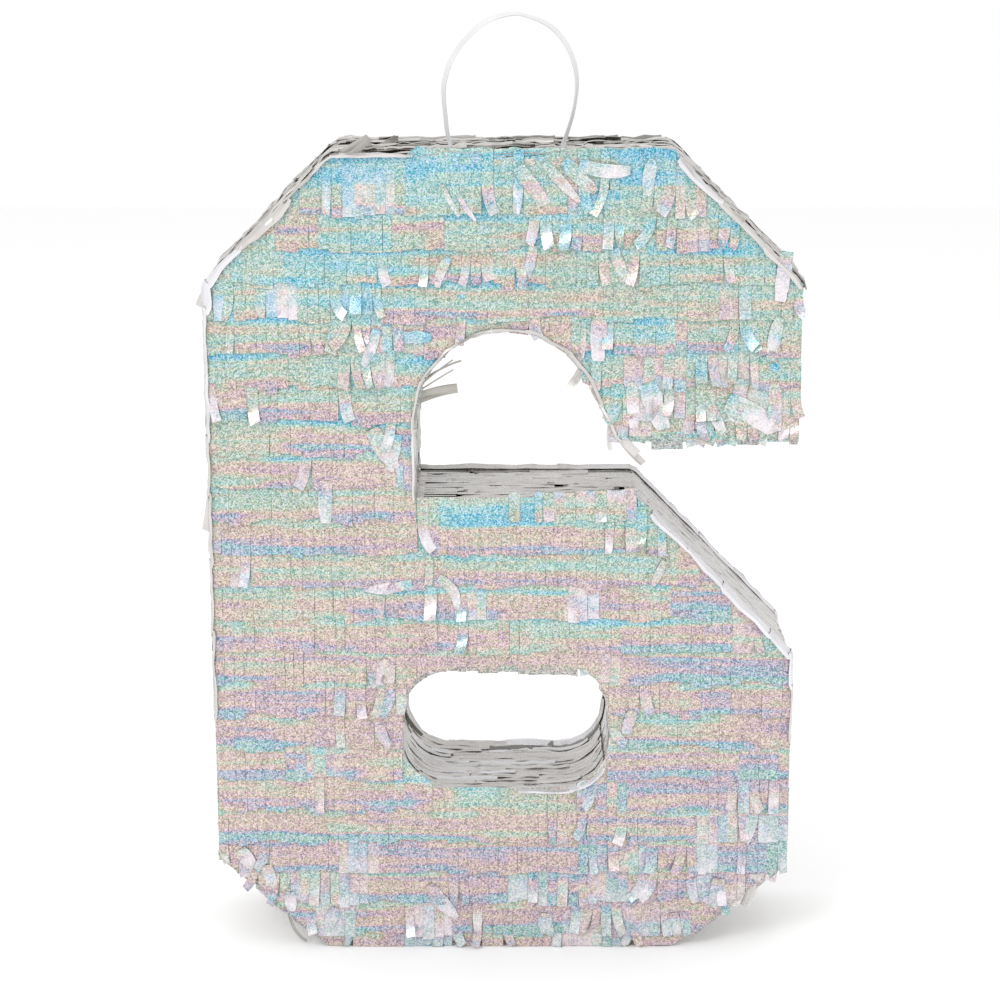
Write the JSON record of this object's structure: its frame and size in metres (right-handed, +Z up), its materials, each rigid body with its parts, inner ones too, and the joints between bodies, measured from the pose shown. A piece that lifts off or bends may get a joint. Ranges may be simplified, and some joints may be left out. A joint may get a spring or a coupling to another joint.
{
  "type": "pinata",
  "caption": "Hollow cardboard pinata in the shape of a figure six, covered with rows of cut foil fringe, with a fill flap in its back and a hanging loop.",
  "frame": {"origin": "middle of the flat base that the figure stands on, half way through its depth", "axes": "+Z up the figure, the front with its fringe faces -Y, +X to the right as the figure is read"},
  "size_m": [0.4, 0.1068, 0.6496],
  "materials": {
    "cardboard": "matte",
    "paper_tape": "matte",
    "silver_foil": "gloss",
    "holographic_foil": "gloss",
    "white_cord": "satin"
  },
  "bodies": {
    "root": {"front_panel": "cardboard", "back_panel": "cardboard", "wall_top": "cardboard", "wall_top_right": "cardboard", "wall_hook_side": "cardboard", "wall_hook_base": "cardboard", "wall_upper_counter": "cardboard", "wall_shelf": "cardboard", "wall_shoulder": "cardboard", "wall_bowl_side": "cardboard", "wall_base_right": "cardboard", "wall_base": "cardboard", "wall_base_left": "cardboard", "wall_left_side": "cardboard", "wall_top_left": "cardboard", "wall_lower_counter": "cardboard", "corner_tapes": "paper_tape", "foil_top": "silver_foil", "foil_hook": "silver_foil", "foil_upper_counter": "silver_foil", "foil_shoulder": "silver_foil", "foil_bowl_side": "silver_foil", "foil_base": "silver_foil", "foil_left_side": "silver_foil", "foil_lower_counter": "silver_foil", "front_fringe_01": "holographic_foil", "front_fringe_02": "holographic_foil", "front_fringe_03": "holographic_foil", "front_fringe_04": "holographic_foil", "front_fringe_05": "holographic_foil", "front_fringe_06": "holographic_foil", "front_fringe_07": "holographic_foil", "front_fringe_08": "holographic_foil", "front_fringe_09": "holographic_foil", "front_fringe_10": "holographic_foil", "front_fringe_11": "holographic_foil", "front_fringe_12": "holographic_foil", "front_fringe_13": "holographic_foil", "front_fringe_14": "holographic_foil", "front_fringe_15": "holographic_foil", "front_fringe_16": "holographic_foil", "front_fringe_17": "holographic_foil", "front_fringe_18": "holographic_foil", "front_fringe_19": "holographic_foil", "front_fringe_20": "holographic_foil", "front_fringe_21": "holographic_foil", "front_fringe_22": "holographic_foil", "front_fringe_23": "holographic_foil", "front_fringe_24": "holographic_foil", "back_fringe_1": "holographic_foil", "back_fringe_2": "holographic_foil", "back_fringe_3": "holographic_foil", "back_fringe_4": "holographic_foil", "loop_patch": "cardboard", "loop_knots": "white_cord"},
    "flap": {"fill_flap": "cardboard", "flap_fringe": "holographic_foil"},
    "loop": {"hanging_loop": "white_cord"}
  },
  "joints": [
    {"name": "fill_flap_fold", "type": "hinge", "parent": "root", "child": "flap", "pos_m": [0, 0.0536, 0.536], "axis": [1, 0, 0], "range_deg": [0, 110]},
    {"name": "loop_tilt", "type": "hinge", "parent": "root", "child": "loop", "pos_m": [0.0025, 0, 0.561], "axis": [1, 0, 0], "range_deg": [-85, 85], "stiffness_Nm_per_rad": 0.003}
  ]
}
